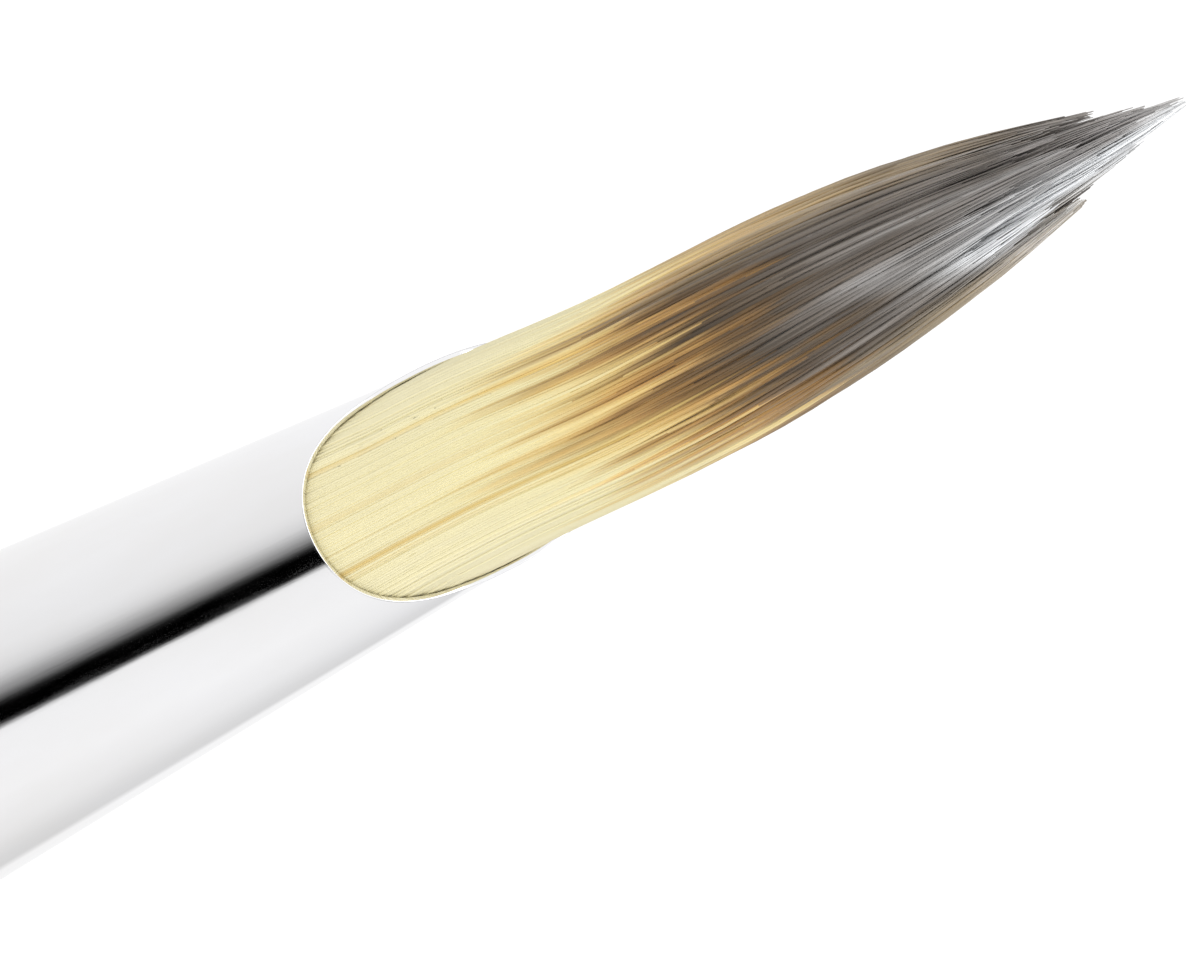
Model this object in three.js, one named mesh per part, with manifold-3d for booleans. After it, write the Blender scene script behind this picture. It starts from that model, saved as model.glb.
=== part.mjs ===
// Fine detail brush: turned handle, tapered nickel ferrule with an oblique mouth, and a pointed hair
// tuft that is bound with thread, set in resin and gripped by the ferrule.
//
// Units are millimetres, +Z up. The brush points straight up, with its axis on the Z axis. The origin
// is the grip point, in the middle of the handle's belly, where fingers or a holder take hold. The open
// side of the oblique mouth faces -Y. Every height below is measured from the mouth's centre, and one
// group lifts the whole brush so that the grip comes to z = 0.

import * as THREE from 'three';
import { mergeVertices } from 'three/addons/utils/BufferGeometryUtils.js';
import Module from 'manifold-3d';

const wasm = await Module();
wasm.setup();

// ---- driving dimensions ---------------------------------------------------------------------------

const GRIP_BELOW_MOUTH = 44;

const ferrule = {
  mouthRadius: 1.45,
  wall: 0.08,
  lipLength: 0.6, // straight stretch below the mouth's centre, before the taper starts
  taper: 0.066, // growth of the radius per millimetre of length
  coneEnd: -17,
  rearEdge: -24.5,
  cutDepth: 1.64, // how far the mouth falls back on its open side, and rises on the other
  cutBulge: 0.45, // how far the cut bows away from a flat plane
  crimpHeights: [-19.6, -21.8],
  crimpDepth: 0.16,
  crimpWidth: 1.1,
  crimpFlank: 0.75, // share of the depth that a crimp has halfway from its middle to its side
  cutSpare: 0.5, // what the tube stands above the mouth before the cut
  sides: 40,
};
ferrule.sleeveRadius = ferrule.mouthRadius + ferrule.taper * (-ferrule.coneEnd - ferrule.lipLength);

const hair = {
  length: 12.2, // from the mouth's centre to the point
  root: -7.6,
  bellyRadius: 1.31,
  swellStart: -4.2, // above the binding the bundle takes its free width, inside the ferrule
  swellEnd: -1.8,
  taperStart: 4.5,
  taperPower: 1.8,
  gap: 0.03,
  coreRadius: 0.33,
  innerRing: { count: 6, outer: 0.76, reach: 11.5, spread: 0.3 },
  outerRing: { count: 12, outer: 1.22, reach: 10.5, spread: 0.55 }, // its outer is the bundle's radius
  endLean: 0.7, // share of a ring's spread by which its locks end later on the -X side and earlier on +X
  endScatter: 0.4, // share of the spread by which neighbouring locks differ, as a sine of their number
  scatterTurn: 2.4, // radians from one lock to the next
  scatterStart: 0.7,
  tipStretch: 4, // length over which one lock thins out before its own end
  tipScale: 0.25,
  pointShare: 0.02, // least share of its width that the tuft keeps at the point
  steps: 9,
  stepCrowding: 1.7, // above 1, the steps crowd towards the end of the lock
};

const thread = { radius: 0.085, turns: 6, pitch: 0.2, base: -6.95, sides: 6, stepsPerTurn: 12 };

const resin = { bottom: -9.3, top: -4.5, clearance: 0.03, lipRise: 0.2, capDrop: 0.1, sides: 24 };

const handle = {
  noseTop: -11.5,
  noseRadius: 1.25,
  noseChamferWidth: 0.25,
  noseChamferLength: 0.5,
  fit: 0.04, // clearance between the tenon and the ferrule's bore
  shoulderGap: 0.03,
  shoulderRadius: 2.56,
  neckRadius: 3.05,
  neckHeight: -32,
  bellyRadius: 3.35,
  bellyHeight: -44,
  backRadius: 2.95,
  backHeight: -72,
  waistRadius: 1.9,
  waistHeight: -112,
  endRadius: 1.3,
  end: -155,
  endSteps: 4, // of the round end
  outlineSteps: 15,
  sides: 30,
};

const cement = { top: -12.4, bottom: -16.2, clearance: 0.03, topFall: 0.3, sides: 24 };

// ---- materials --------------------------------------------------------------------------------------

function finish(color, roughness, metalness) {
  return new THREE.MeshStandardMaterial({ color, roughness, metalness });
}

const nickel = finish(0xe4e5e8, 0.08, 1.0);
const lacqueredWood = finish(0x6b2a1c, 0.22, 0.0);
const hairTone = finish(0xc8a868, 0.55, 0.0);
const hairDark = finish(0x6f675f, 0.55, 0.0);
const linen = finish(0xd9c9a0, 0.8, 0.0);
const amber = finish(0xb98a3a, 0.35, 0.0);
const paleCement = finish(0xd8d2bf, 0.7, 0.0);

// ---- shared shape helpers -----------------------------------------------------------------------------

const pt = (radius, height) => new THREE.Vector2(radius, height);

// A profile of (radius, height) points, turned round the Z axis. Heights rise along the outside.
function turned(profile, sides) {
  const geometry = new THREE.LatheGeometry(profile, sides);
  return geometry.rotateX(Math.PI / 2);
}

function joined(geometry) {
  const bare = geometry.clone();
  bare.deleteAttribute('normal');
  bare.deleteAttribute('uv');
  return mergeVertices(bare, 1e-4);
}

function toSolid(geometry) {
  const bare = joined(geometry);
  const vertProperties = new Float32Array(bare.attributes.position.array);
  const triVerts = new Uint32Array(bare.index.array);
  return new wasm.Manifold(new wasm.Mesh({ numProp: 3, vertProperties, triVerts }));
}

function fromSolid(solid) {
  const mesh = solid.getMesh();
  const geometry = new THREE.BufferGeometry();
  geometry.setAttribute('position', new THREE.BufferAttribute(mesh.vertProperties, 3));
  geometry.setIndex(new THREE.BufferAttribute(mesh.triVerts, 1));
  return geometry;
}

function mesh(name, geometry, material) {
  const part = new THREE.Mesh(joined(geometry), material);
  part.name = name;
  return part;
}

// Smoothly 0 below start and 1 above end.
function ease(value, start, end) {
  return THREE.MathUtils.smoothstep(value, start, end);
}

// ---- ferrule ------------------------------------------------------------------------------------------

// Outer radius of the ferrule at a height, with the crimps left out.
function ferruleRadius(height) {
  const below = Math.max(0, -height - ferrule.lipLength);
  return Math.min(ferrule.mouthRadius + ferrule.taper * below, ferrule.sleeveRadius);
}

function boreRadius(height) {
  return ferruleRadius(height) - ferrule.wall;
}

// Points of a sleeve wall with its rolled crimp grooves, from the rear edge up to the cone.
function crimpedWall(radius) {
  const points = [pt(radius, ferrule.rearEdge)];
  for (const height of [...ferrule.crimpHeights].reverse()) {
    const half = ferrule.crimpWidth / 2;
    points.push(pt(radius, height - half));
    points.push(pt(radius - ferrule.crimpDepth * ferrule.crimpFlank, height - half / 2));
    points.push(pt(radius - ferrule.crimpDepth, height));
    points.push(pt(radius - ferrule.crimpDepth * ferrule.crimpFlank, height + half / 2));
    points.push(pt(radius, height + half));
  }
  points.push(pt(radius, ferrule.coneEnd));
  return points;
}

// Everything above the slanting mouth: an S-shaped cut, seen from the side.
function mouthCutter() {
  const reach = ferrule.mouthRadius;
  const far = 3 * reach;
  const drop = ferrule.cutDepth;
  const outline = new THREE.Shape();
  outline.moveTo(-far, -drop);
  outline.lineTo(-reach, -drop);
  outline.quadraticCurveTo(-reach / 2, -drop / 2 - ferrule.cutBulge, 0, 0);
  outline.quadraticCurveTo(reach / 2, drop / 2 + ferrule.cutBulge, reach, drop);
  outline.lineTo(far, drop);
  outline.lineTo(far, 2 * far);
  outline.lineTo(-far, 2 * far);
  const block = new THREE.ExtrudeGeometry(outline, { depth: 2 * far, bevelEnabled: false, curveSegments: 8 });
  block.translate(0, 0, -far);
  const axes = [new THREE.Vector3(0, 1, 0), new THREE.Vector3(0, 0, 1), new THREE.Vector3(1, 0, 0)];
  return block.applyMatrix4(new THREE.Matrix4().makeBasis(...axes));
}

function ferruleGeometry() {
  const top = ferrule.cutDepth + ferrule.cutSpare;
  const outside = crimpedWall(ferrule.sleeveRadius);
  outside.push(pt(ferrule.mouthRadius, -ferrule.lipLength), pt(ferrule.mouthRadius, top));
  const inside = crimpedWall(ferrule.sleeveRadius - ferrule.wall);
  inside.push(pt(boreRadius(0), -ferrule.lipLength), pt(boreRadius(0), top));
  const profile = [...outside, ...inside.reverse(), outside[0].clone()];
  const tube = toSolid(turned(profile, ferrule.sides));
  return fromSolid(tube.subtract(toSolid(mouthCutter())));
}

// ---- hair ---------------------------------------------------------------------------------------------

// Outer radius of the tuft at a height.
function tuftRadius(height) {
  const swell = ease(height, hair.swellStart, hair.swellEnd);
  const belly = THREE.MathUtils.lerp(hair.outerRing.outer, hair.bellyRadius, swell);
  const along = Math.max(0, (height - hair.taperStart) / (hair.length - hair.taperStart));
  return belly * Math.max(hair.pointShare, 1 - along ** hair.taperPower);
}

// Section of one lock at the root: a piece of a ring, or the round core when inner is 0.
function lockSection(inner, outer, angle, width) {
  const section = new THREE.Shape();
  if (inner === 0) {
    section.absarc(0, 0, outer, 0, 2 * Math.PI, false);
    return section;
  }
  const outerHalf = width / 2 - hair.gap / 2 / outer;
  const innerHalf = width / 2 - hair.gap / 2 / inner;
  section.absarc(0, 0, outer, angle - outerHalf, angle + outerHalf, false);
  section.absarc(0, 0, inner, angle + innerHalf, angle - innerHalf, true);
  return section;
}

// One lock: its section follows the swelling and narrowing tuft, and thins out to a point of its own at
// its end.
function lockGeometry({ inner, outer, angle, width, end }) {
  const section = lockSection(inner, outer, angle, width);
  const segments = inner === 0 ? 4 : 3;
  const geometry = new THREE.ExtrudeGeometry(section, {
    depth: 1, steps: hair.steps, bevelEnabled: false, curveSegments: segments,
  });
  const middle = inner === 0 ? 0 : (inner + outer) / 2;
  const centreX = middle * Math.cos(angle);
  const centreY = middle * Math.sin(angle);
  const position = geometry.attributes.position;
  for (let i = 0; i < position.count; i++) {
    const share = 1 - (1 - position.getZ(i)) ** hair.stepCrowding;
    const height = THREE.MathUtils.lerp(hair.root, end, share);
    const bundle = tuftRadius(height) / hair.outerRing.outer;
    const own = THREE.MathUtils.lerp(1, hair.tipScale, ease(height, end - hair.tipStretch, end));
    const x = bundle * (centreX + own * (position.getX(i) - centreX));
    const y = bundle * (centreY + own * (position.getY(i) - centreY));
    position.setXYZ(i, x, y, height);
  }
  return geometry;
}

// The locks of one ring. The ends differ from lock to lock, and lean to one side, as on a used brush.
function ringLocks(name, inner, { count, outer, reach, spread }, material) {
  const locks = [];
  const width = 2 * Math.PI / count;
  for (let i = 0; i < count; i++) {
    const angle = (i + 0.5) * width;
    const scatter = hair.endScatter * Math.sin(hair.scatterTurn * i + hair.scatterStart);
    const end = reach + spread * (scatter - hair.endLean * Math.cos(angle));
    const label = String(i + 1).padStart(count > 9 ? 2 : 1, '0');
    locks.push(mesh(`${name}_${label}`, lockGeometry({ inner, outer, angle, width, end }), material));
  }
  return locks;
}

function tuft() {
  const innerStart = hair.coreRadius + hair.gap;
  const outerStart = hair.innerRing.outer + hair.gap;
  const group = new THREE.Group();
  const coreLock = lockGeometry({ inner: 0, outer: hair.coreRadius, angle: 0, width: 0, end: hair.length });
  group.add(mesh('hair_core', coreLock, hairDark));
  group.add(...ringLocks('hair_inner', innerStart, hair.innerRing, hairDark));
  group.add(...ringLocks('hair_outer', outerStart, hair.outerRing, hairTone));
  return group;
}

// ---- what holds the hair ---------------------------------------------------------------------------------

class Winding extends THREE.Curve {
  getPoint(share, target = new THREE.Vector3()) {
    const turn = 2 * Math.PI * thread.turns * share;
    const radius = hair.outerRing.outer + hair.gap + thread.radius;
    const height = thread.base + thread.pitch * thread.turns * share;
    return target.set(radius * Math.cos(turn), radius * Math.sin(turn), height);
  }
}

function threadGeometry() {
  const section = new THREE.Shape();
  section.absarc(0, 0, thread.radius, 0, 2 * Math.PI, false);
  return new THREE.ExtrudeGeometry(section, {
    extrudePath: new Winding(),
    steps: thread.turns * thread.stepsPerTurn,
    curveSegments: thread.sides / 2,
    bevelEnabled: false,
  });
}

// A cup with an inward lip: its floor closes the bundle's root, and its wall holds the winding.
function resinGeometry() {
  const gap = resin.clearance;
  const windingRadius = hair.outerRing.outer + hair.gap + 2 * thread.radius + 2 * gap;
  const windingTop = thread.base + thread.pitch * thread.turns + 2 * thread.radius;
  const profile = [
    pt(0, resin.bottom),
    pt(boreRadius(resin.bottom) - gap, resin.bottom),
    pt(boreRadius(resin.top) - gap, resin.top),
    pt(hair.outerRing.outer + gap, resin.top + resin.lipRise),
    pt(hair.outerRing.outer + gap, windingTop + resin.capDrop),
    pt(windingRadius, windingTop),
    pt(windingRadius, hair.root - gap),
    pt(0, hair.root - gap),
  ];
  return turned(profile, resin.sides);
}

// ---- handle ---------------------------------------------------------------------------------------------

// The long outline behind the ferrule, from the round end up to the shoulder.
function handleOutline() {
  const shoulder = ferrule.rearEdge - handle.shoulderGap;
  const curve = new THREE.SplineCurve([
    pt(handle.endRadius, handle.end + handle.endRadius),
    pt(handle.waistRadius, handle.waistHeight),
    pt(handle.backRadius, handle.backHeight),
    pt(handle.bellyRadius, handle.bellyHeight),
    pt(handle.neckRadius, handle.neckHeight),
    pt(handle.shoulderRadius, shoulder),
  ]);
  const roundEnd = [];
  for (let i = 0; i < handle.endSteps; i++) {
    const turn = i / handle.endSteps * Math.PI / 2;
    const height = handle.end + handle.endRadius * (1 - Math.cos(turn));
    roundEnd.push(pt(handle.endRadius * Math.sin(turn), height));
  }
  return [...roundEnd, ...curve.getPoints(handle.outlineSteps)];
}

// The tenon fills the sleeve, follows its crimps, and tapers to a nose inside the cone.
function tenonOutline() {
  const radius = ferrule.sleeveRadius - ferrule.wall - handle.fit;
  const shoulder = ferrule.rearEdge - handle.shoulderGap;
  const sleeve = crimpedWall(radius);
  sleeve[0].y = shoulder;
  return [
    ...sleeve,
    pt(handle.noseRadius + handle.noseChamferWidth, handle.noseTop - handle.noseChamferLength),
    pt(handle.noseRadius, handle.noseTop),
    pt(0, handle.noseTop),
  ];
}

function handleGeometry() {
  return turned([...handleOutline(), ...tenonOutline()], handle.sides);
}

// Radius of the tenon's nose, where it has left the sleeve.
function noseRadius(height) {
  const sleeve = ferrule.sleeveRadius - ferrule.wall - handle.fit;
  const noseStart = handle.noseTop - handle.noseChamferLength;
  const share = (height - ferrule.coneEnd) / (noseStart - ferrule.coneEnd);
  return THREE.MathUtils.lerp(sleeve, handle.noseRadius + handle.noseChamferWidth, share);
}

function cementGeometry() {
  const gap = cement.clearance;
  const profile = [
    pt(boreRadius(cement.bottom) - gap, cement.bottom),
    pt(boreRadius(cement.top) - gap, cement.top),
    pt(noseRadius(cement.top) + 2 * gap, cement.top - cement.topFall),
    pt(noseRadius(cement.bottom) + gap, cement.bottom),
  ];
  return turned([...profile, profile[0].clone()], cement.sides);
}

// ---- assembly ---------------------------------------------------------------------------------------------

const group = new THREE.Group();
group.position.z = GRIP_BELOW_MOUTH;
group.add(mesh('handle', handleGeometry(), lacqueredWood));
group.add(mesh('ferrule', ferruleGeometry(), nickel));
group.add(mesh('handle_cement', cementGeometry(), paleCement));
group.add(mesh('root_resin', resinGeometry(), amber));
group.add(mesh('binding_thread', threadGeometry(), linen));
group.add(tuft());

export default group;
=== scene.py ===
"""Looks of the fine detail brush: hair drawn strand by strand, a mirror-bright nickel ferrule and a
lacquered handle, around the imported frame. Blender units are metres. Names that end in _MM or _mm are in
millimetres, and as heights they are measured from the centre of the ferrule's mouth. The brush stands
along +Z with its point up, and the open side of its slanting mouth faces -Y. A pair of values is the
start and the end of a change, unless its name or comment says otherwise, and a side is the cosine of
the direction round the tuft: 1 at +X and -1 at -X."""

import math

import bpy
import numpy as np
from mathutils import Matrix, Vector


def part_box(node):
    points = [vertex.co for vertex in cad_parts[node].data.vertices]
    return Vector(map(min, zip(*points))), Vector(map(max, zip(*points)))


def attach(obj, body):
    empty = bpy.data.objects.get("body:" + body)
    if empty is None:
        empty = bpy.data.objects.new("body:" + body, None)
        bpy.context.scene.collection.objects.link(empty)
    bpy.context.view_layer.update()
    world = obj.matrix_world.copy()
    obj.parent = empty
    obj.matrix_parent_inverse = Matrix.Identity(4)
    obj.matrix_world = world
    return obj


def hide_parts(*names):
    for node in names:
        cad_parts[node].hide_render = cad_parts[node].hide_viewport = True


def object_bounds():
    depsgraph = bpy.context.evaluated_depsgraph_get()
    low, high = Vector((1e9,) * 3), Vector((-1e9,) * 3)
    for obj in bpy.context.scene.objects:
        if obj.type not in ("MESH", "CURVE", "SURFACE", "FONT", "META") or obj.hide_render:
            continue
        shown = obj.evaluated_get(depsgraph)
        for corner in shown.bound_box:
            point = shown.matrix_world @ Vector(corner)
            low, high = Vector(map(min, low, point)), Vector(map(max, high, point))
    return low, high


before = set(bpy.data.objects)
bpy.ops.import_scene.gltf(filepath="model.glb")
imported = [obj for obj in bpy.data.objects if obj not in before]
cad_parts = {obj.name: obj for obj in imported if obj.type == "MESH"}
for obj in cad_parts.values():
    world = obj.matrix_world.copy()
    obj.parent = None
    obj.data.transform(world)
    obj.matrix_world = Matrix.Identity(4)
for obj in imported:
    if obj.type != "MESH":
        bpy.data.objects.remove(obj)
cad_low, cad_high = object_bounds()

MM = 0.001

# ---- ferrule, in mm -----------------------------------------------------------------------------------
CUT_DEPTH_MM = 1.64  # how far the mouth falls back on its open side, and rises on the other
CUT_BULGE_MM = 0.45  # how far the cut bows away from a flat plane
MOUTH_RADIUS_MM = 1.45
WALL_MM = 0.08
LIP_LENGTH_MM = 0.6
LIP_TURN_MM = 0.03  # below the edge by this much the outside is still a plain cone
# The dressed edge, from outside to inside: how far in from the outer face, and how far below the edge
LIP_OUTLINE_MM = ((0.0, 0.014), (0.001, 0.008), (0.005, 0.002), (0.011, 0.0), (0.052, 0.0), (0.064, 0.004),
                  (0.074, 0.016), (0.079, 0.035), (0.08, 0.06))
CONE_END_MM = -17.0
CRIMP_HEIGHTS_MM = (-19.6, -21.8)
CRIMP_DEPTH_MM = 0.16
CRIMP_HALF_WIDTH_MM = 0.55
FERRULE_SIDES = 192
REAR_ROUNDING_MM = 0.02  # how far the rear edge is rounded across the wall, and then along it
REAR_ROUNDING_LENGTH_MM = 0.03
SLEEVE_RINGS_TOP_MM = CONE_END_MM + 1.0  # up to here the rings of points are close, to shape the crimps
SLEEVE_RINGS = 60
CONE_RINGS_START_MM = CONE_END_MM + 1.6
CONE_RINGS = 12
LEVEL_TOP_MM = -3.0  # below this height every ring is level; above it they lean more and more
FIRST_LEAN = 0.06  # the lean of the first of them; 1 follows the mouth's edge
LEANING_RINGS = 12

# ---- handle -------------------------------------------------------------------------------------------
HANDLE_SIDES = 96
STEPS_PER_RING = 6  # how finely the curve between two rings of the CAD handle is drawn
DIP_MM = 15.0  # how far the black dip reaches up from the handle's end
DIP_WAVER = 0.0003  # how far the grain moves its edge, in metres
DIP_SHARPNESS = 12000.0  # one over the width of its edge in metres

# ---- shape of the hair, in mm -------------------------------------------------------------------------
ROOT_RADIUS_MM = 1.22
BELLY_RADIUS_MM = 1.28  # to the middle of the outermost hairs
SWELL_MM = (-4.2, -1.8)  # above the binding the bundle swells until it fills the bore
RELEASE_MM = (-0.5, 4.0)  # from filling the bore to its free width
BORE_CLEARANCE_MM = 0.036  # from the middle of the outermost hairs to the wall
TAPER_START_MM = 3.8
TAPER_POWER = 2.05
BLUNT_MM = 0.35  # how far beyond the last hair's end the taper would come to a point
LEAST_TAPER = 0.03  # the smallest share of its width that the taper leaves
SPREAD = 0.6  # how much the inner hairs spread out where the outer ones have ended
SPREAD_MM = (8.0, 12.0)
CORE_RADIUS_MM = 0.33
INNER_RADIUS_MM = 0.76
RING_GAP_MM = 0.001  # between the roots of the inner and the outer locks
BOW_MM = 0.112  # how far the tuft bows to its +X side, as a used brush does
BOW_RISE_MM = (0.3, 3.4)
BOW_RETURN_MM = (4.0, 8.0)
BOW_RETURN = 0.6  # the share of the bow that it comes back
LOCK_POINT_MM = 0.9  # how much shorter a lock is at its sides than in its middle
OUTER_SCATTER_MM = 1.5  # how much shorter than its lock a hair may be
INNER_SCATTER_MM = 0.9
SCATTER_POWER = 1.5  # above 1, most hairs end near the lock's end
GATHER = 0.24  # how far a lock closes up round its middle, over the last GATHER_MM before its end
GATHER_MM = 2.2
WAVE_MM = 0.014  # how far single hairs wander from side to side
WAVE_RISE_MM = (0.5, 5.0)
WAVE_TURNS = (1.1, 1.3)  # radians per millimetre, in X and in Y
DRIFT = 0.03  # radians that a hair turns round the axis on its way up
HAIR_RADIUS_MM = 0.031
RADIUS_RANGE = (0.85, 1.15)  # the thinnest and the thickest hair
HAIR_THINNING = 0.82  # the share of its thickness that a hair loses
HAIR_THIN_SHARE = (0.84, 1.0)  # of its length
SKIN_SPACING_MM = 0.029
SKIN_JITTER = 0.25  # of the spacing, either way
SKIN_LAYERS = 3
SKIN_LAYER_DEPTH_MM = 0.035
SKIN_ROUGHNESS_MM = 0.006
FILLING_MM2 = 0.0042  # the area of bundle that each hair under the skin takes
HAIR_SIDES = 4
HAIR_STATIONS = 26
STRAIGHT_SHARE = 0.28  # of a hair's length from its root, drawn as one straight stretch
UV_MARGIN = 0.15  # either side of a hair in its strip of the UV map
SEED = 7

# ---- colours of the hair ------------------------------------------------------------------------------
STREAK_CELLS = {"broad": 30, "fine": 110, "amber": 70, "silver_and_highlight": 60, "tone": 120}  # round the tuft
PALE_SIDES = (-1.0, -0.9, -0.6, -0.3, 0.0, 0.3, 0.6, 0.9, 1.0)
PALE_SHIFTS = (0.1, 0.082, 0.0, 0.005, 0.01, -0.095, 0.138, 0.04, 0.04)  # how much longer it stays pale
BROAD_SHIFT = 0.024  # how much broad and fine streaks, and single hairs, vary the shift
FINE_SHIFT = 0.048
HAIR_SHIFT = 0.012
SHIFT_END = (0.55, 0.9)  # the shift fades out here, as a share of the tuft's length
LATE_SHARE = 0.04  # a few hairs on the very outside stay pale far into the dark part
LATE_DEPTH = 0.99
LATE_SHIFT = 0.06
AMBER = 0.12  # on average; then how much streaks and single hairs vary it
AMBER_STREAK = 0.36
AMBER_SCATTER = 0.08
AMBER_MOST = 0.85
GOLD_SIDE = (0.57, 0.97)  # golden hairs lie towards -X: these are sides with their sign turned
GOLD_SCATTER = 0.06
PALE_EDGE = 0.45  # how pale the hairs on the +X side turn above their cream part
PALE_EDGE_SIDE = (0.78, 0.97)
TONE_STREAK = 0.14  # how much streaks and single hairs vary the brightness
TONE_SCATTER = 0.04
TONE_RANGE = (0.58, 1.3)  # the darkest and the brightest hair
OCHRE_SHARE = 0.04  # of all hairs
OCHRE_STRENGTH = 0.25
OCHRE_STRANDS = ((-69, 0.8), (-127, 0.45), (-98, 0.25))  # degrees round the tuft, and how strong
OCHRE_WIDTH = 0.03  # radians

# Where the hair is silver, which is partly real silver-white hair and partly a painted highlight: a strip
# that drifts to +X and widens as it rises, a haze beside it, a paler point on that side, and single
# streaks.
STRIP = 0.95
STRIP_EARLY = 0.2  # the share of its strength that it takes first
STRIP_EARLY_MM = (6.7, 7.6)
STRIP_LATE_MM = (7.8, 9.5)
STRIP_SIDE = 0.2  # where its middle starts
STRIP_DRIFT = 0.46  # how far its side changes
STRIP_DRIFT_MM = (6.9, 9.2)
STRIP_BREADTH = 0.1
STRIP_WIDENING = 0.15
STRIP_WIDENING_MM = (6.5, 9.5)
STRIP_EDGE_LOSS = 0.8  # it is weaker near the +X side
STRIP_EDGE = (0.8, 0.95)
HAZE = 0.3
HAZE_SIDE = (-0.35, 0.25)
HAZE_RISE_MM = (8.0, 9.7)
HAZE_END_MM = (10.2, 11.2)
POINT = 0.75
POINT_SIDE = (0.1, 0.7)
POINT_MM = (10.0, 11.2)
# The strip and the haze are a painted highlight, on the side towards the camera (-Y) only.
BACK = 0.3  # the strip and the haze stop where Y is this share of the distance from the axis
GLINT = 0.26  # how much streaks strengthen or weaken the strip: painted glints
GLINT_RANGE = (0.45, 1.5)  # the least and the most
GLINT_HIGHLIGHT = 0.12  # and how silver the brightest turn by themselves: painted glints
GLINT_MM = (5.0, 8.0)
SILVER_AND_HIGHLIGHT_MOST = 0.95

# ---- studio card: heights in metres, azimuths in degrees ----------------------------------------------
CARD_RADIUS = 0.2
CARD_SIDES = 180
CARD_TOP_Z = 0.12
CARD_TRUE_Z = -0.0493
CARD_TURNS = ((0, 0.554), (20, 1.096))  # degrees per millimetre of height, by azimuth
CARD_CHANGE = ((-0.043, 0.0), (-0.03, 1.0))  # from the lower tones to the upper ones
LOWER_TONES = (
    (-180, 0.98), (-112, 0.96), (-74, 0.93), (-38, 0.87), (-30, 0.82), (-22, 0.72), (-15, 0.5), (-11, 0.37),
    (-7, 0.25), (-4, 0.13), (-0.5, 0.02), (3, 0.0), (17.8, 0.0), (22.3, 0.95), (75, 0.98), (116, 0.9),
    (150, 0.76), (166, 0.73), (179, 0.98),
)
UPPER_TONES = (
    (-180, 0.95), (-150, 0.9), (-112, 0.3), (-106, 0.02), (-92, 0.02), (-88, 0.9), (-40, 0.85), (-10, 0.35),
    (0, 0.01), (18, 0.0), (22, 0.9), (60, 0.88), (84, 0.35), (90, 0.02), (102, 0.02), (106, 0.95),
    (150, 0.7), (160, 0.05), (172, 0.05), (175, 0.95), (180, 0.95),
)
LAMP_TARGET = (0, 0, 0.02)
LAMPS = (("key", (-0.14, -0.5, 0.75), 0.5, 1.6),  # name, place, size and watts
         ("fill", (0.6, -0.5, 0.3), 0.6, 0.8))
FLOOR_HALF_SIZE = 20.0
FLOOR_DROP = 0.0002  # how far the floor lies below the brush

# Where the parts stand, from the frame
ferrule_low, ferrule_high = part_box("ferrule")
mouth_z = ferrule_high.z - CUT_DEPTH_MM * MM
hair_root_mm = (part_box("hair_core")[0].z - mouth_z) / MM
hair_length_mm = (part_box("hair_core")[1].z - mouth_z) / MM
rear_edge_mm = (ferrule_low.z - mouth_z) / MM
sleeve_radius_mm = ferrule_high.x / MM
handle_end_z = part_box("handle")[0].z


# ---- small helpers ------------------------------------------------------------------------------------
def smooth(value, start, end):
    """0 below start, 1 above end, and a smooth step between; works on numbers and arrays."""
    share = np.clip((value - start) / (end - start), 0.0, 1.0)
    return share * share * (3.0 - 2.0 * share)


def linear(red, green, blue):
    """A colour given as 0 to 255 screen values, in the linear values that shaders take."""
    def one(value):
        share = value / 255.0
        return share / 12.92 if share <= 0.04045 else ((share + 0.055) / 1.055) ** 2.4
    return (one(red), one(green), one(blue), 1.0)


def mesh_object(name, points, faces, uvs=None):
    """A smooth-shaded mesh object from points in metres; uvs, if given, is one pair per point."""
    mesh = bpy.data.meshes.new(name)
    mesh.from_pydata([tuple(p) for p in points], [], [tuple(f) for f in faces])
    mesh.shade_smooth()
    if uvs is not None:
        layer = mesh.uv_layers.new(name="OFBake")
        corners = np.empty(len(mesh.loops), dtype=np.int32)
        mesh.loops.foreach_get("vertex_index", corners)
        layer.data.foreach_set("uv", np.asarray(uvs, dtype=np.float32)[corners].ravel())
    obj = bpy.data.objects.new(name, mesh)
    bpy.context.scene.collection.objects.link(obj)
    return obj


def point_values(obj, name, values):
    """Stores one number per point on the mesh, for the material to read."""
    attribute = obj.data.attributes.new(name, "FLOAT", "POINT")
    attribute.data.foreach_set("value", np.asarray(values, dtype=np.float32))


def turned_faces(rings, sides, first=0):
    """Quads between rings of points, each ring with the given number of sides, facing outward when the
    rings rise along the outside."""
    faces = []
    for ring in range(rings - 1):
        for side in range(sides):
            a = first + ring * sides + side
            b = first + ring * sides + (side + 1) % sides
            faces.append((a, b, b + sides, a + sides))
    return faces


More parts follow.
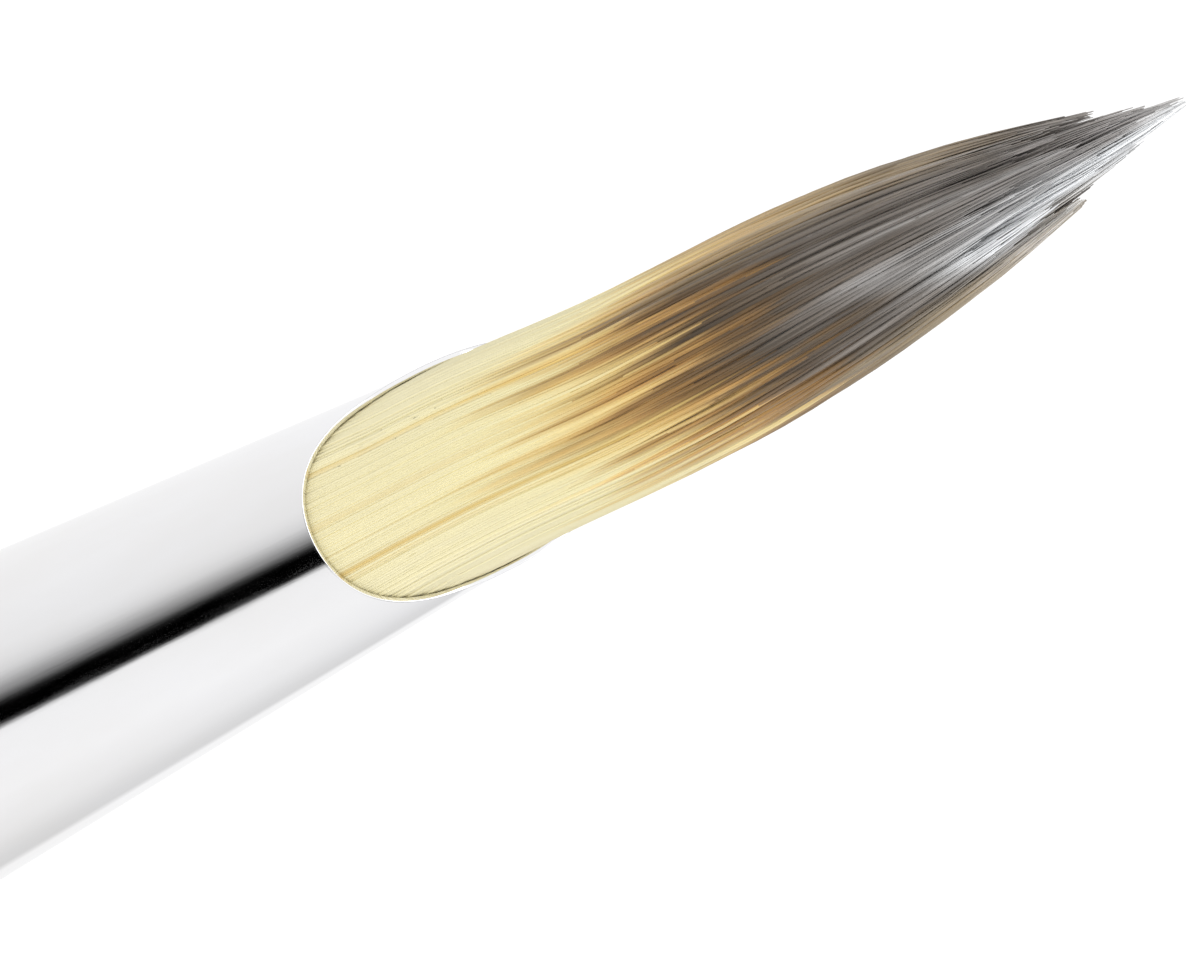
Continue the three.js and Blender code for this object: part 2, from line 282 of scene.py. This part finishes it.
# ---- materials ----------------------------------------------------------------------------------------
class Shader:
    """A Principled material with short names for the nodes that feed it."""

    def __init__(self, name):
        self.material = bpy.data.materials.new(name)
        self.material.use_nodes = True
        self.tree = self.material.node_tree
        self.surface = self.tree.nodes["Principled BSDF"]

    def node(self, kind, **settings):
        made = self.tree.nodes.new(kind)
        for key, value in settings.items():
            setattr(made, key, value)
        return made

    def link(self, source, target):
        self.tree.links.new(source, target)

    def feed(self, value, socket):
        """Gives a socket another node's output, or a fixed value."""
        if isinstance(value, bpy.types.NodeSocket):
            self.link(value, socket)
        else:
            socket.default_value = value

    def set(self, **values):
        """Fixed values on the Principled sockets, with _ for a space in the socket's name."""
        for key, value in values.items():
            self.surface.inputs[key.replace("_", " ")].default_value = value

    def attribute(self, name):
        return self.node("ShaderNodeAttribute", attribute_name=name).outputs["Fac"]

    def coordinates(self, scale):
        """Object coordinates times scale, so that a noise of scale 1 changes about that often per metre."""
        source = self.node("ShaderNodeTexCoord")
        mapping = self.node("ShaderNodeMapping")
        mapping.inputs["Scale"].default_value = scale
        self.link(source.outputs["Object"], mapping.inputs["Vector"])
        return mapping.outputs["Vector"]

    def noise(self, vector, scale, detail=4.0, roughness=0.5):
        made = self.node("ShaderNodeTexNoise")
        made.inputs["Scale"].default_value = scale
        made.inputs["Detail"].default_value = detail
        made.inputs["Roughness"].default_value = roughness
        self.link(vector, made.inputs["Vector"])
        return made.outputs["Fac"]

    def ramp(self, source, stops):
        """A colour ramp; stops are (position, colour or grey level)."""
        made = self.node("ShaderNodeValToRGB")
        points = made.color_ramp.elements
        while len(points) < len(stops):
            points.new(0.5)
        assert len(points) == len(stops), "a ramp has at least two stops"
        for point, (position, colour) in zip(points, stops):
            point.position = position
            point.color = colour if isinstance(colour, tuple) else (colour, colour, colour, 1.0)
        self.link(source, made.inputs["Fac"])
        return made.outputs["Color"]

    def math(self, operation, *values):
        made = self.node("ShaderNodeMath", operation=operation)
        for value, socket in zip(values, made.inputs):
            self.feed(value, socket)
        return made.outputs["Value"]

    def mix(self, share, first, second, blend="MIX"):
        made = self.node("ShaderNodeMix", data_type="RGBA", blend_type=blend)
        for name, value in (("Factor", share), ("A", first), ("B", second)):
            self.feed(value, next(s for s in made.inputs if s.name == name and s.enabled))
        return next(s for s in made.outputs if s.enabled)

    def bump(self, height, strength, distance):
        """Raises the surface where height is high, by up to distance in metres."""
        made = self.node("ShaderNodeBump")
        made.inputs["Strength"].default_value = strength
        made.inputs["Distance"].default_value = distance
        self.link(height, made.inputs["Height"])
        self.link(made.outputs["Normal"], self.surface.inputs["Normal"])


def hair_material():
    """Undyed hair: cream at the root, golden then dark brown, charcoal, and silver in some strands. The
    silver is partly real hair colour and partly a painted highlight.
    """
    s = Shader("sable_hair")
    streaky = s.noise(s.coordinates((7500, 7500, 420)), 1.0, 2.0)
    wander = s.math("MULTIPLY", s.math("SUBTRACT", streaky, 0.5), 0.22)
    reach = s.math("ADD", s.attribute("reach"), wander)
    body = s.ramp(reach, [
        (0.00, linear(232, 223, 180)),
        (0.12, linear(232, 222, 174)),
        (0.22, linear(227, 207, 146)),
        (0.29, linear(211, 183, 116)),
        (0.35, linear(176, 143, 88)),
        (0.39, linear(122, 96, 58)),
        (0.43, linear(84, 66, 44)),
        (0.50, linear(88, 75, 60)),
        (0.62, linear(106, 98, 90)),
        (0.80, linear(120, 114, 109)),
        (0.92, linear(162, 158, 156)),
        (1.00, linear(194, 192, 191)),
    ])
    turning = s.ramp(reach, [(0.16, 0.0), (0.32, 1.0), (0.4, 1.0), (0.52, 0.0)])
    glowing = s.mix(s.math("MULTIPLY", s.attribute("amber"), turning), body, linear(188, 138, 66))
    golden = s.ramp(reach, [(0.2, 0.0), (0.36, 0.85), (0.46, 0.75), (0.57, 0.38), (0.7, 0.22),
                            (0.82, 0.05)])
    warmed = s.mix(s.math("MULTIPLY", s.attribute("gold"), golden), glowing, linear(190, 163, 116))
    faded = s.ramp(reach, [(0.24, 0.0), (0.42, 0.4), (0.6, 1.0), (0.8, 0.95), (0.95, 0.6)])
    paled = s.mix(s.math("MULTIPLY", s.attribute("pale"), faded), warmed, linear(206, 184, 144))
    # Silver-white: partly real silver hair, partly a painted highlight.
    silvered_and_highlit = s.mix(s.attribute("silver_and_highlight"), paled, linear(246, 248, 250))
    stain = s.math("MULTIPLY", s.attribute("ochre"), s.ramp(reach, [(0.0, 1.0), (0.28, 1.0), (0.4, 0.0)]))
    stained = s.mix(stain, silvered_and_highlit, linear(214, 182, 98))
    grain = s.noise(s.coordinates((9000, 9000, 500)), 1.0, 3.0)
    flecks = s.ramp(grain, [(0.32, 0.8), (0.5, 0.97), (0.68, 1.08)])
    strength = s.ramp(reach, [(0.14, 0.12), (0.34, 1.0)])
    shade = s.mix(strength, (1.0, 1.0, 1.0, 1.0), s.attribute("tone"))
    toned = s.mix(1.0, stained, shade, "MULTIPLY")
    s.link(s.mix(strength, toned, s.mix(1.0, toned, flecks, "MULTIPLY")), s.surface.inputs["Base Color"])
    s.set(Roughness=0.45, Specular_IOR_Level=0.4, Sheen_Weight=0.1, Sheen_Roughness=0.4)
    scales = s.noise(s.coordinates((20000, 20000, 9000)), 1.0, 2.0)
    s.bump(scales, 0.08, 0.000004)
    return s.material


def nickel_material():
    """Polished nickel plate with faint drawing lines along the tube and a little handling haze."""
    s = Shader("polished_nickel")
    s.set(Metallic=1.0)
    haze = s.noise(s.coordinates((500, 500, 160)), 1.0, 5.0, 0.6)
    s.link(s.ramp(haze, [(0.35, linear(247, 247, 249)), (0.75, linear(242, 241, 241))]),
           s.surface.inputs["Base Color"])
    lines = s.noise(s.coordinates((16000, 16000, 90)), 1.0, 3.0, 0.6)
    s.link(s.ramp(lines, [(0.35, 0.035), (0.8, 0.075)]), s.surface.inputs["Roughness"])
    s.bump(lines, 0.04, 0.00001)
    return s.material


def handle_material():
    """Stained hardwood under clear gloss lacquer, with its end dipped in black."""
    s = Shader("lacquered_hardwood")
    fibres = s.noise(s.coordinates((1500, 1500, 28)), 1.0, 8.0, 0.62)
    wood = s.ramp(fibres, [
        (0.28, linear(66, 22, 14)),
        (0.45, linear(104, 38, 22)),
        (0.58, linear(128, 52, 30)),
        (0.75, linear(150, 70, 40)),
    ])
    pores = s.noise(s.coordinates((5200, 5200, 120)), 1.0, 2.0)
    pitted = s.mix(s.ramp(pores, [(0.62, 0.0), (0.7, 0.55)]), wood, linear(38, 12, 8))
    height = s.node("ShaderNodeSeparateXYZ")
    s.link(s.coordinates((1, 1, 1)), height.inputs["Vector"])
    dip_edge = handle_end_z + DIP_MM * MM
    wavering = s.math("ADD", height.outputs["Z"], s.math("MULTIPLY", fibres, DIP_WAVER))
    undipped = s.math("MULTIPLY", s.math("SUBTRACT", wavering, dip_edge), DIP_SHARPNESS)
    s.link(s.mix(s.ramp(undipped, [(0.0, 0.0), (1.0, 1.0)]), linear(20, 18, 19), pitted),
           s.surface.inputs["Base Color"])
    s.set(Roughness=0.3, Coat_Weight=1.0, Coat_Roughness=0.03, Coat_IOR=1.5)
    s.bump(s.mix(0.5, fibres, pores), 0.12, 0.00004)
    return s.material


def thread_material():
    """Pale waxed thread with its twist."""
    s = Shader("waxed_thread")
    twist = s.noise(s.coordinates((9000, 9000, 22000)), 1.0, 2.0)
    s.link(s.ramp(twist, [(0.3, linear(188, 172, 132)), (0.7, linear(226, 214, 180))]),
           s.surface.inputs["Base Color"])
    s.set(Roughness=0.75)
    s.bump(twist, 0.5, 0.00002)
    return s.material


def resin_material():
    """Cloudy amber resin."""
    s = Shader("amber_resin")
    cloud = s.noise(s.coordinates((900, 900, 900)), 1.0, 4.0)
    s.link(s.ramp(cloud, [(0.3, linear(160, 104, 30)), (0.7, linear(206, 160, 74))]),
           s.surface.inputs["Base Color"])
    s.set(Roughness=0.25, Coat_Weight=0.4)
    s.bump(cloud, 0.2, 0.00003)
    return s.material


def cement_material():
    """Gritty off-white cement."""
    s = Shader("set_cement")
    grit = s.noise(s.coordinates((4000, 4000, 4000)), 1.0, 6.0)
    s.link(s.ramp(grit, [(0.3, linear(196, 188, 168)), (0.7, linear(228, 222, 206))]),
           s.surface.inputs["Base Color"])
    s.set(Roughness=0.8)
    s.bump(grit, 0.4, 0.00003)
    return s.material


# ---- ferrule ------------------------------------------------------------------------------------------
def cut_height(y_mm):
    """Height of the mouth's edge at a place across the mouth: an S-shaped slant from front to back."""
    share = np.abs(y_mm) / MOUTH_RADIUS_MM
    # Each half of the S is a quadratic curve from the mouth's centre, pulled up in its middle by the bulge.
    rise = 2 * share * (1 - share) * (CUT_DEPTH_MM / 2 + CUT_BULGE_MM) + share * share * CUT_DEPTH_MM
    return np.sign(y_mm) * rise


def crimp(height_mm):
    """How far the sleeve is pressed in at a height."""
    depth = 0.0
    for centre in CRIMP_HEIGHTS_MM:
        offset = min(1.0, abs(height_mm - centre) / CRIMP_HALF_WIDTH_MM)
        depth += CRIMP_DEPTH_MM * 0.5 * (1 + math.cos(math.pi * offset))
    return depth


def ferrule_outer(height_mm):
    """Outer radius: a cylinder at the lip, a long cone, then the sleeve that grips the handle."""
    share = (-height_mm - LIP_LENGTH_MM) / (-CONE_END_MM - LIP_LENGTH_MM)
    cone = MOUTH_RADIUS_MM + (sleeve_radius_mm - MOUTH_RADIUS_MM) * min(1.0, max(0.0, share))
    return cone - crimp(height_mm)


def make_ferrule():
    """The tube as rings of points: up the outside, over the lip and down the bore."""
    angles = np.linspace(0, 2 * math.pi, FERRULE_SIDES, endpoint=False)
    edge = cut_height(MOUTH_RADIUS_MM * np.sin(angles))
    sleeve = np.linspace(rear_edge_mm + REAR_ROUNDING_LENGTH_MM, SLEEVE_RINGS_TOP_MM, SLEEVE_RINGS)
    cone = np.linspace(CONE_RINGS_START_MM, LEVEL_TOP_MM, CONE_RINGS)
    levels = [*sleeve, *cone]
    lean = np.linspace(FIRST_LEAN, 1.0, LEANING_RINGS)
    rings = []

    def ring(radius, height):
        rings.append(np.stack([radius * np.cos(angles), radius * np.sin(angles),
                               np.broadcast_to(height, angles.shape)], axis=1))

    def leaning_ring(share, inward):
        height = LEVEL_TOP_MM + share * (edge - LIP_TURN_MM - LEVEL_TOP_MM)
        ring(np.array([ferrule_outer(h) - inward for h in height]), height)

    ring(ferrule_outer(rear_edge_mm) - REAR_ROUNDING_MM, rear_edge_mm)
    for level in levels:
        ring(ferrule_outer(level), level)
    for share in lean:
        leaning_ring(share, 0.0)
    for inward, down in LIP_OUTLINE_MM:
        ring(np.array([ferrule_outer(h - down) for h in edge]) - inward, edge - down)
    for share in lean[-2::-1]:
        leaning_ring(share, WALL_MM)
    for level in reversed(levels):
        ring(ferrule_outer(level) - WALL_MM, level)
    ring(ferrule_outer(rear_edge_mm) - WALL_MM + REAR_ROUNDING_MM, rear_edge_mm)
    points = np.concatenate(rings) * MM + np.array([0, 0, mouth_z])
    faces = turned_faces(len(rings), FERRULE_SIDES)
    last = (len(rings) - 1) * FERRULE_SIDES
    following = [(i + 1) % FERRULE_SIDES for i in range(FERRULE_SIDES)]
    faces += [(last + i, last + after, after, i) for i, after in enumerate(following)]
    obj = mesh_object("ferrule_tube", points, faces)
    obj.data.materials.append(nickel_material())
    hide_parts("ferrule")
    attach(obj, "root")


# ---- handle -------------------------------------------------------------------------------------------
def node_outline(node):
    """(radius, height) of each ring of a turned CAD node, in metres, from its lowest end up. Heights are
    told apart to a tenth of a micron."""
    rings = {}
    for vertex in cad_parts[node].data.vertices:
        x, y, z = vertex.co
        rings.setdefault(round(z, 7), set()).add(round(math.hypot(x, y), 6))
    return [(max(rings[height]), height) for height in sorted(rings)]


def smooth_curve(heights, radii):
    """(radius, height) along a smooth curve through the given rings: cubic stretches that share their
    slopes where they meet."""
    slopes = np.gradient(radii, heights)
    curve = []
    for i in range(len(heights) - 1):
        span = heights[i + 1] - heights[i]
        for t in np.arange(STEPS_PER_RING) / STEPS_PER_RING:
            radius = ((1 + 2 * t) * (1 - t) ** 2 * radii[i] + t * (1 - t) ** 2 * span * slopes[i]
                      + t * t * (3 - 2 * t) * radii[i + 1] + t * t * (t - 1) * span * slopes[i + 1])
            curve.append((radius, heights[i] + t * span))
    return curve + [(radii[-1], heights[-1])]


def make_handle():
    """A smooth turned handle through the rings of the CAD handle, with the same shoulder and tenon."""
    outline = node_outline("handle")
    steps = [below[0] - above[0] for below, above in zip(outline, outline[1:])]
    shoulder = steps.index(max(steps))
    radii, heights = zip(*outline[1:shoulder + 1])
    profile = smooth_curve(heights, radii) + outline[shoulder + 1:]
    angles = np.linspace(0, 2 * math.pi, HANDLE_SIDES, endpoint=False)
    points = [(0, 0, outline[0][1])]
    for radius, height in profile:
        points += [(radius * math.cos(a), radius * math.sin(a), height) for a in angles]
    points.append((0, 0, outline[-1][1]))
    following = [(i + 1) % HANDLE_SIDES for i in range(HANDLE_SIDES)]
    last = 1 + (len(profile) - 1) * HANDLE_SIDES
    top = len(points) - 1
    faces = [(0, 1 + after, 1 + i) for i, after in enumerate(following)]
    faces += turned_faces(len(profile), HANDLE_SIDES, first=1)
    faces += [(top, last + i, last + after) for i, after in enumerate(following)]
    obj = mesh_object("handle_turned", points, faces)
    obj.data.materials.append(handle_material())
    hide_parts("handle")
    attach(obj, "root")


# ---- hair ---------------------------------------------------------------------------------------------
def bore_radius(height):
    """Inner radius of the ferrule near its mouth."""
    taper = (sleeve_radius_mm - MOUTH_RADIUS_MM) / (-CONE_END_MM - LIP_LENGTH_MM)
    return MOUTH_RADIUS_MM - WALL_MM + taper * np.maximum(0.0, -height - LIP_LENGTH_MM)


def tuft_radius(height):
    """Outer radius of the tuft: bound at the root, filling the bore at the mouth, then its free width,
    then a taper to a point."""
    filling = bore_radius(height) - BORE_CLEARANCE_MM - BELLY_RADIUS_MM
    free = BELLY_RADIUS_MM + filling * (1 - smooth(height, *RELEASE_MM))
    belly = ROOT_RADIUS_MM + (free - ROOT_RADIUS_MM) * smooth(height, *SWELL_MM)
    along = np.clip((height - TAPER_START_MM) / (hair_length_mm + BLUNT_MM - TAPER_START_MM), 0.0, 1.0)
    return belly * np.maximum(LEAST_TAPER, 1 - along ** TAPER_POWER)


def tuft_place(fraction, height):
    """Radius of a hair that starts at a fraction of the bundle's radius. Towards the point the inner
    hairs spread out, because the outer ones have ended."""
    opened = fraction ** (1 - SPREAD * smooth(height, *SPREAD_MM))
    return opened * tuft_radius(height)


def streaks(table, angle):
    """Smooth values round the tuft, from a table of random ones: hairs that lie together look alike."""
    place = np.mod(angle / (2 * math.pi), 1.0) * len(table)
    first = place.astype(int) % len(table)
    blend = smooth(place - np.floor(place), 0.0, 1.0)
    return table[first] * (1 - blend) + table[(first + 1) % len(table)] * blend


def lock_places(rng, inner, outer, angle, width):
    """Root places (radius, angle) of the hairs of one lock: an even outer skin, and a random filling."""
    places = []
    if inner > INNER_RADIUS_MM:
        for layer in range(SKIN_LAYERS):
            radius = outer - layer * SKIN_LAYER_DEPTH_MM
            count = int(round(radius * width / SKIN_SPACING_MM))
            for i in range(count):
                share = (i + 0.5 + 0.5 * (layer % 2) + rng.uniform(-SKIN_JITTER, SKIN_JITTER)) / count
                sunk = abs(rng.normal(0, SKIN_ROUGHNESS_MM))
                places.append((radius - sunk, angle + (share - 0.5) * width))
        outer -= SKIN_LAYERS * SKIN_LAYER_DEPTH_MM
    area = (outer ** 2 - inner ** 2) * width / 2
    for _ in range(int(area / FILLING_MM2)):
        radius = math.sqrt(rng.uniform(inner ** 2, outer ** 2))
        places.append((radius, angle + rng.uniform(-0.5, 0.5) * width))
    return np.array(places)


def hair_colours(rng, tables, angle, depth):
    """Per-hair values: how far its colours are shifted towards the point, how amber, golden, pale and
    ochre it is, how bright it is, and how much its streak glints. depth is 0 at the middle of the tuft
    and 1 on its skin."""
    count = len(angle)
    side = np.cos(angle)

    def streak(name):
        return streaks(tables[name], angle)

    shift = np.interp(side, PALE_SIDES, PALE_SHIFTS)
    shift += BROAD_SHIFT * streak("broad") + FINE_SHIFT * streak("fine")
    shift += rng.normal(0.0, HAIR_SHIFT, count)
    shift += LATE_SHIFT * ((rng.random(count) < LATE_SHARE) & (depth > LATE_DEPTH))
    amber = AMBER + AMBER_STREAK * streak("amber") + rng.normal(0, AMBER_SCATTER, count)
    gold = np.clip(smooth(-side, *GOLD_SIDE) + rng.normal(0, GOLD_SCATTER, count), 0, 1) * depth
    pale = PALE_EDGE * smooth(side, *PALE_EDGE_SIDE) * depth
    tone = 1.0 + TONE_STREAK * streak("tone") + rng.normal(0, TONE_SCATTER, count)
    ochre = OCHRE_STRENGTH * (rng.random(count) < OCHRE_SHARE)
    for degrees, strength in OCHRE_STRANDS:
        apart = np.abs(np.angle(np.exp(1j * (angle - math.radians(degrees)))))
        ochre = np.maximum(ochre, strength * np.exp(-(apart / OCHRE_WIDTH) ** 2))
    return {"shift": shift, "amber": np.clip(amber, 0, AMBER_MOST), "gold": gold, "pale": pale,
            "glint": streak("silver_and_highlight"), "tone": np.clip(tone, *TONE_RANGE), "ochre": ochre}


def silver_and_highlight_share(x, y, height, glint):
    """How silver each place on the hair is: partly real silver-white hair, partly a painted highlight."""
    around = np.hypot(x, y) + 1e-6  # never quite 0
    side = x / around
    middle = STRIP_SIDE + STRIP_DRIFT * smooth(height, *STRIP_DRIFT_MM)
    breadth = STRIP_BREADTH + STRIP_WIDENING * smooth(height, *STRIP_WIDENING_MM)
    early = STRIP_EARLY * smooth(height, *STRIP_EARLY_MM)
    late = (1 - STRIP_EARLY) * smooth(height, *STRIP_LATE_MM)
    strip = STRIP * np.exp(-((side - middle) / breadth) ** 2) * (early + late)
    strip = strip * (1 - STRIP_EDGE_LOSS * smooth(side, *STRIP_EDGE))
    haze = HAZE * smooth(side, *HAZE_SIDE) * smooth(height, *HAZE_RISE_MM)
    haze = haze * (1 - smooth(height, *HAZE_END_MM))
    point = POINT * smooth(side, *POINT_SIDE) * smooth(height, *POINT_MM)
    # The strip and the haze are a painted highlight, put only on the side towards the camera (-Y).
    in_front = y < BACK * around
    seen = np.clip(1 + GLINT * glint, *GLINT_RANGE) * (strip + haze) * in_front + point
    single = GLINT_HIGHLIGHT * np.maximum(0, glint) * smooth(height, *GLINT_MM)
    return np.clip(seen + single, 0, SILVER_AND_HIGHLIGHT_MOST)


def tube_faces(count):
    """Faces of closed tubes, one for each hair, whose points run station by station from the root."""
    per_hair = HAIR_STATIONS * HAIR_SIDES
    one = turned_faces(HAIR_STATIONS, HAIR_SIDES)
    one += [tuple(reversed(range(HAIR_SIDES))), tuple(range(per_hair - HAIR_SIDES, per_hair))]
    return [tuple(hair * per_hair + i for i in face) for hair in range(count) for face in one]


def make_lock(node, rng, tables, inner, outer, angle, width):
    """One pointed lock of single hairs, in the space of the CAD lock of the same name."""
    end = (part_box(node)[1].z - mouth_z) / MM
    places = lock_places(rng, inner, outer, angle, width)
    count = len(places)
    root_radius, root_angle = places[:, 0], places[:, 1]
    scatter = OUTER_SCATTER_MM if inner > INNER_RADIUS_MM else INNER_SCATTER_MM
    aside = np.abs(root_angle - angle) / (width / 2) if inner > 0 else np.zeros(count)
    ends = end - scatter * rng.random(count) ** SCATTER_POWER - LOCK_POINT_MM * aside ** 2
    thickness = HAIR_RADIUS_MM * rng.uniform(*RADIUS_RANGE, count)
    drift = rng.normal(0, DRIFT, count)
    values = hair_colours(rng, tables, root_angle, root_radius / ROOT_RADIUS_MM)
    phase = rng.uniform(0, 2 * math.pi, (2, count, 1))

    # The middle line of each hair: one row per hair, one column per station
    steps = np.concatenate([[0.0], np.linspace(STRAIGHT_SHARE, 1.0, HAIR_STATIONS - 1)])
    height = hair_root_mm + (ends[:, None] - hair_root_mm) * steps
    turn = root_angle[:, None] + drift[:, None] * smooth(height, 0, hair_length_mm)
    radius = tuft_place(root_radius[:, None] / ROOT_RADIUS_MM, height)
    x, y = radius * np.cos(turn), radius * np.sin(turn)
    if inner > 0:
        centre = tuft_place((inner + outer) / 2 / ROOT_RADIUS_MM, height)
        gather = 1 - GATHER * smooth(height, end - GATHER_MM, end)
        x = centre * math.cos(angle) + gather * (x - centre * math.cos(angle))
        y = centre * math.sin(angle) + gather * (y - centre * math.sin(angle))
    bow = BOW_MM * smooth(height, *BOW_RISE_MM) * (1 - BOW_RETURN * smooth(height, *BOW_RETURN_MM))
    wave = WAVE_MM * smooth(height, *WAVE_RISE_MM)
    x = x + bow + wave * np.sin(height * WAVE_TURNS[0] + phase[0])
    y = y + wave * np.sin(height * WAVE_TURNS[1] + phase[1])

    # The tubes round those lines; each hair has a strip of its own in the UV map
    thick = thickness[:, None] * (1 - HAIR_THINNING * smooth(steps, *HAIR_THIN_SHARE))
    corner = np.arange(HAIR_SIDES) / HAIR_SIDES
    px = x[:, :, None] + thick[:, :, None] * np.cos(corner * 2 * math.pi)
    py = y[:, :, None] + thick[:, :, None] * np.sin(corner * 2 * math.pi)
    pz = np.broadcast_to(height[:, :, None], px.shape)
    points = np.stack([px, py, pz], axis=-1).reshape(-1, 3) * MM + np.array([0, 0, mouth_z])
    column = (np.arange(count)[:, None, None] + UV_MARGIN + (1 - 2 * UV_MARGIN) * corner) / count
    uvs = np.stack([np.broadcast_to(column, px.shape), np.broadcast_to(steps[:, None], px.shape)], axis=-1)
    name = "strands_" + node.removeprefix("hair_")
    obj = mesh_object(name, points, tube_faces(count), uvs.reshape(-1, 2))

    # Silver per point: partly real silver hair, partly a painted highlight.
    glint = values.pop("glint")[:, None, None]
    silver_and_highlight = silver_and_highlight_share(x[:, :, None], y[:, :, None], height[:, :, None], glint)
    point_values(obj, "silver_and_highlight", np.broadcast_to(silver_and_highlight, px.shape).ravel())
    place = pz / hair_length_mm
    shift = values.pop("shift")[:, None, None] * (1 - smooth(place, *SHIFT_END))
    point_values(obj, "reach", np.clip(place - shift, 0, 1).ravel())
    for key, numbers in values.items():
        point_values(obj, key, np.repeat(numbers, HAIR_STATIONS * HAIR_SIDES))
    obj.data.materials.append(hair_look)
    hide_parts(node)
    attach(obj, "root")


def make_tuft():
    """A core lock, and two rings of locks round it."""
    rng = np.random.default_rng(SEED)
    tables = {name: rng.normal(0, 1, count) for name, count in STREAK_CELLS.items()}
    make_lock("hair_core", rng, tables, 0.0, CORE_RADIUS_MM, 0.0, 2 * math.pi)
    for ring, count, digits, inner, outer in (
            ("inner", 6, 1, CORE_RADIUS_MM, INNER_RADIUS_MM),
            ("outer", 12, 2, INNER_RADIUS_MM + RING_GAP_MM, ROOT_RADIUS_MM)):
        width = 2 * math.pi / count
        for i in range(count):
            node = f"hair_{ring}_{i + 1:0{digits}d}"
            make_lock(node, rng, tables, inner, outer, (i + 0.5) * width, width)


# ---- inner pieces -------------------------------------------------------------------------------------
def dress_inner_pieces():
    """Materials for the CAD pieces that keep their shape, inside the ferrule."""
    for node, look in (("binding_thread", thread_material()), ("root_resin", resin_material()),
                       ("handle_cement", cement_material())):
        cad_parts[node].data.materials.clear()
        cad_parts[node].data.materials.append(look)


# ---- stage --------------------------------------------------------------------------------------------
def make_floor():
    """A plain pale floor, just below the brush's end."""
    corners = [(FLOOR_HALF_SIZE * x, FLOOR_HALF_SIZE * y, cad_low.z - FLOOR_DROP)
               for x, y in ((-1, -1), (1, -1), (1, 1), (-1, 1))]
    floor = mesh_object("floor", corners, [(0, 1, 2, 3)])
    look = Shader("pale_floor")
    look.set(Base_Color=(0.98, 0.98, 0.98, 1.0), Roughness=0.6)
    floor.data.materials.append(look.material)


def make_card_ring():
    """A ring of studio card round the brush that only reflections see. Its tones are (azimuth, brightness);
    azimuth 0 is straight in front of the brush (-Y) and 90 is to its right (+X). The lower tones hang
    askew: they turn with height, by CARD_TURNS, and are true at the height CARD_TRUE_Z."""
    low, high = cad_low.z, CARD_TOP_Z
    points, uvs = [], []
    for i in range(CARD_SIDES + 1):
        turn = 2 * math.pi * i / CARD_SIDES - math.pi
        place = (CARD_RADIUS * math.sin(turn), -CARD_RADIUS * math.cos(turn))
        points += [(*place, low), (*place, high)]
        uvs += [(i / CARD_SIDES, 0.0), (i / CARD_SIDES, 1.0)]
    faces = [(2 * i, 2 * i + 1, 2 * i + 3, 2 * i + 2) for i in range(CARD_SIDES)]
    ring = mesh_object("studio_card", points, faces, uvs)
    look = Shader("studio_card_glow")
    around = look.node("ShaderNodeSeparateXYZ")
    look.link(look.node("ShaderNodeUVMap", uv_map="OFBake").outputs["UV"], around.inputs["Vector"])
    azimuth, height = around.outputs["X"], around.outputs["Y"]

    def stops(tones, scale=1.0):
        return [((place + 180) / 360, tone * scale) for place, tone in tones]

    turns = look.ramp(azimuth, stops(CARD_TURNS, (high - low) / MM / 360))
    turned = look.math("MULTIPLY", look.math("SUBTRACT", (CARD_TRUE_Z - low) / (high - low), height), turns)
    lower = look.ramp(look.math("FRACT", look.math("ADD", azimuth, turned)), stops(LOWER_TONES))
    upper = look.ramp(azimuth, stops(UPPER_TONES))
    share = look.ramp(height, [((z - low) / (high - low), tone) for z, tone in CARD_CHANGE])
    glow = look.node("ShaderNodeEmission")
    look.link(look.mix(share, lower, upper), glow.inputs["Color"])
    look.link(glow.outputs["Emission"], look.tree.nodes["Material Output"].inputs["Surface"])
    ring.data.materials.append(look.material)
    for ray in ("camera", "diffuse", "transmission", "volume_scatter", "shadow"):
        setattr(ring, "visible_" + ray, False)


def make_studio():
    """Floor, reflected card, even white light from all round, and two large soft lamps."""
    make_floor()
    make_card_ring()
    world = bpy.data.worlds.new("white_room")
    bpy.context.scene.world = world
    world.use_nodes = True
    sky = world.node_tree.nodes["Background"]
    sky.inputs["Color"].default_value = (1.0, 1.0, 1.0, 1.0)
    sky.inputs["Strength"].default_value = 1.0
    for name, place, size, power in LAMPS:
        lamp = bpy.data.lights.new(name, "AREA")
        lamp.size = size
        lamp.energy = power
        obj = bpy.data.objects.new(name, lamp)
        obj.location = place
        obj.rotation_mode = "QUATERNION"
        obj.rotation_quaternion = (Vector(LAMP_TARGET) - Vector(place)).to_track_quat("-Z", "Y")
        bpy.context.scene.collection.objects.link(obj)
    bpy.context.scene.view_settings.view_transform = "Standard"


def make_camera():
    """From in front and above, rolled so that the brush points up to the right."""
    tilt = math.radians(31.3)  # how far the brush leans towards the camera
    slope = 27.2  # degrees from the picture's horizontal up to the brush
    roll = math.radians(90 - slope)
    view_width = 15.73 * MM  # what the picture spans at the mouth
    mouth_right, mouth_up = -0.1133, 0.0092  # the mouth's centre in the picture, in picture widths
    data = bpy.data.cameras.new("camera")
    data.lens = 800
    data.sensor_width = 36
    distance = view_width * data.lens / data.sensor_width
    data.clip_start = 0.01
    data.clip_end = 100
    back = Vector((0, -math.cos(tilt), math.sin(tilt)))
    turn = back.to_track_quat("Z", "Y").to_matrix() @ Matrix.Rotation(roll, 3, "Z")
    aim = Vector((0, 0, mouth_z)) - turn @ Vector((mouth_right * view_width, mouth_up * view_width, 0))
    camera = bpy.data.objects.new("camera", data)
    camera.rotation_mode = "QUATERNION"
    camera.rotation_quaternion = turn.to_quaternion()
    camera.location = aim + back * distance
    bpy.context.scene.collection.objects.link(camera)
    bpy.context.scene.camera = camera


make_camera()
make_ferrule()
make_handle()
hair_look = hair_material()
make_tuft()
dress_inner_pieces()
make_studio()
